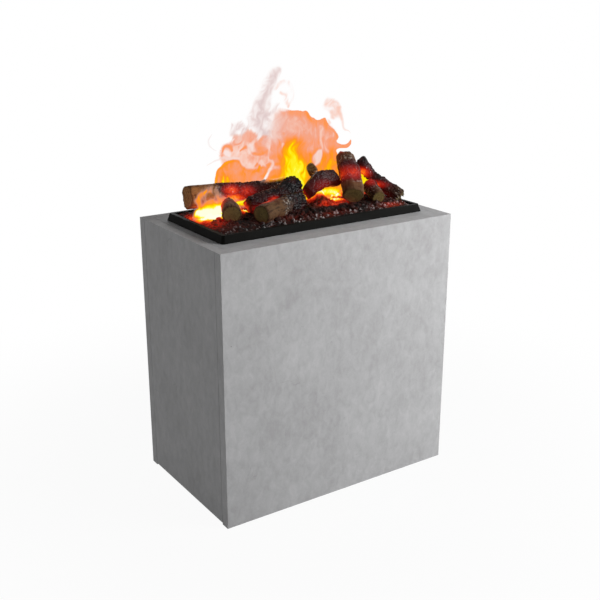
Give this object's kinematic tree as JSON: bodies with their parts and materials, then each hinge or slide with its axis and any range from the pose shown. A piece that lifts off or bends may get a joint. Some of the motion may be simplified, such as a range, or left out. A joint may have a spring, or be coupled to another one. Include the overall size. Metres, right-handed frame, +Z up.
{
  "type": "water vapour fireplace",
  "caption": "Free-standing water vapour fireplace: concrete-effect plinth, ultrasonic mist cassette hung in its top, lift-off tray of moulded logs with lit vapour flames.",
  "frame": {"origin": "middle of the footprint, on the floor", "axes": "+Z up, front face towards -Y, long side along X"},
  "size_m": [0.5, 0.306, 0.806],
  "materials": {
    "concrete_board": "matte concrete-effect coating",
    "raw_board": "matte",
    "timber": "matte",
    "grille_steel": "satin",
    "screw_steel": "satin",
    "black_rubber": "matte",
    "black_sheet": "satin",
    "basin_plastic": "satin",
    "black_plastic": "satin",
    "disc_metal": "satin",
    "float_plastic": "satin",
    "rotor_plastic": "satin",
    "guard_wire": "polished",
    "filter_foam": "matte",
    "lamp_board": "satin",
    "lamp_lens": "gloss",
    "amber_cover": "gloss",
    "circuit_board": "satin",
    "button_plastic": "satin",
    "rocker_plastic": "gloss",
    "red_window": "gloss",
    "brass_blade": "polished",
    "tank_plastic": "gloss",
    "blue_plastic": "gloss",
    "seal_rubber": "matte",
    "tray_paint": "satin",
    "ember_resin": "matte",
    "bark": "matte",
    "charred_bark": "matte",
    "lit_vapour": "soft"
  },
  "bodies": {
    "root": {"front_panel": "concrete_board", "back_panel": "concrete_board", "left_panel": "concrete_board", "right_panel": "concrete_board", "top_panel": "concrete_board", "base_panel": "raw_board", "corner_battens": "timber", "top_cleats": "timber", "vent_grille": "grille_steel", "grille_screws": "screw_steel", "cable_grommet": "black_rubber", "cassette_housing": "black_sheet", "flange_screws": "screw_steel", "sump": "basin_plastic", "transducer_bodies": "black_plastic", "transducer_discs": "disc_metal", "float_stem": "black_plastic", "vapour_nozzle": "black_plastic", "air_duct": "black_plastic", "fan_frame": "black_plastic", "fan_guard": "guard_wire", "fan_screws": "screw_steel", "air_filter": "filter_foam", "lamp_brackets": "black_sheet", "lamp_boards": "lamp_board", "lamp_leds": "lamp_lens", "lamp_covers": "amber_cover", "bay_divider": "black_sheet", "control_panel": "black_plastic", "control_board": "circuit_board", "board_standoffs": "float_plastic", "board_components": "black_plastic", "switch_bezel": "black_plastic", "infrared_window": "red_window", "power_supply": "black_plastic", "power_inlet": "black_plastic", "inlet_blades": "brass_blade", "tank_cradle": "black_sheet"},
    "fuel_bed": {"fuel_bed_tray": "tray_paint", "tray_pads": "black_rubber", "ember_bed": "ember_resin", "log_back_left": "bark", "log_cross": "charred_bark", "log_small_left": "bark", "log_front_centre": "bark", "logs_centre": "charred_bark", "logs_right": "charred_bark", "vapour_flames": "lit_vapour"},
    "tank": {"water_tank": "tank_plastic", "tank_handle": "blue_plastic"},
    "tank_cap": {"tank_cap": "blue_plastic", "tank_seal": "seal_rubber", "valve_spring": "guard_wire"},
    "valve": {"valve_plunger": "float_plastic"},
    "fan": {"fan_rotor": "rotor_plastic"},
    "float": {"level_float": "float_plastic"},
    "standby_key": {"standby_button": "button_plastic"},
    "flame_up_key": {"flame_up_button": "button_plastic"},
    "flame_down_key": {"flame_down_button": "button_plastic"},
    "power_rocker": {"switch_rocker": "rocker_plastic"}
  },
  "joints": [
    {"name": "fuel_bed_lift", "type": "slide", "parent": "root", "child": "fuel_bed", "axis": [0, 0, 1], "range_m": [0, 0.3]},
    {"name": "tank_lift", "type": "slide", "parent": "root", "child": "tank", "axis": [0, 0, 1], "range_m": [0, 0.15]},
    {"name": "cap_turn", "type": "hinge", "parent": "tank", "child": "tank_cap", "pos_m": [-0.045, -0.0538, 0.3755], "axis": [0, 0, 1], "range_deg": [0, 360]},
    {"name": "valve_slide", "type": "slide", "parent": "tank_cap", "child": "valve", "axis": [0, 0, 1], "range_m": [-0.004, 0], "deforming": ["valve_spring"]},
    {"name": "fan_spin", "type": "hinge", "parent": "root", "child": "fan", "pos_m": [-0.162, 0.028, 0.3412], "axis": [0, 0, 1], "continuous": true},
    {"name": "float_slide", "type": "slide", "parent": "root", "child": "float", "axis": [0, 0, 1], "range_m": [0, 0.014]},
    {"name": "standby_press", "type": "slide", "parent": "root", "child": "standby_key", "axis": [0, 0, -1], "range_m": [0, 0.0012], "stiffness_N_per_m": 400},
    {"name": "flame_up_press", "type": "slide", "parent": "root", "child": "flame_up_key", "axis": [0, 0, -1], "range_m": [0, 0.0012], "stiffness_N_per_m": 400},
    {"name": "flame_down_press", "type": "slide", "parent": "root", "child": "flame_down_key", "axis": [0, 0, -1], "range_m": [0, 0.0012], "stiffness_N_per_m": 400},
    {"name": "rocker_tilt", "type": "hinge", "parent": "root", "child": "power_rocker", "pos_m": [0.1355, -0.0345, 0.5034], "axis": [1, 0, 0], "range_deg": [0, 14]}
  ],
  "couplings": [
    {"joint": "tank_lift", "follows": "fuel_bed_lift", "ratio": 0.5},
    {"joint": "valve_slide", "follows": "fuel_bed_lift", "ratio": -0.01333}
  ]
}
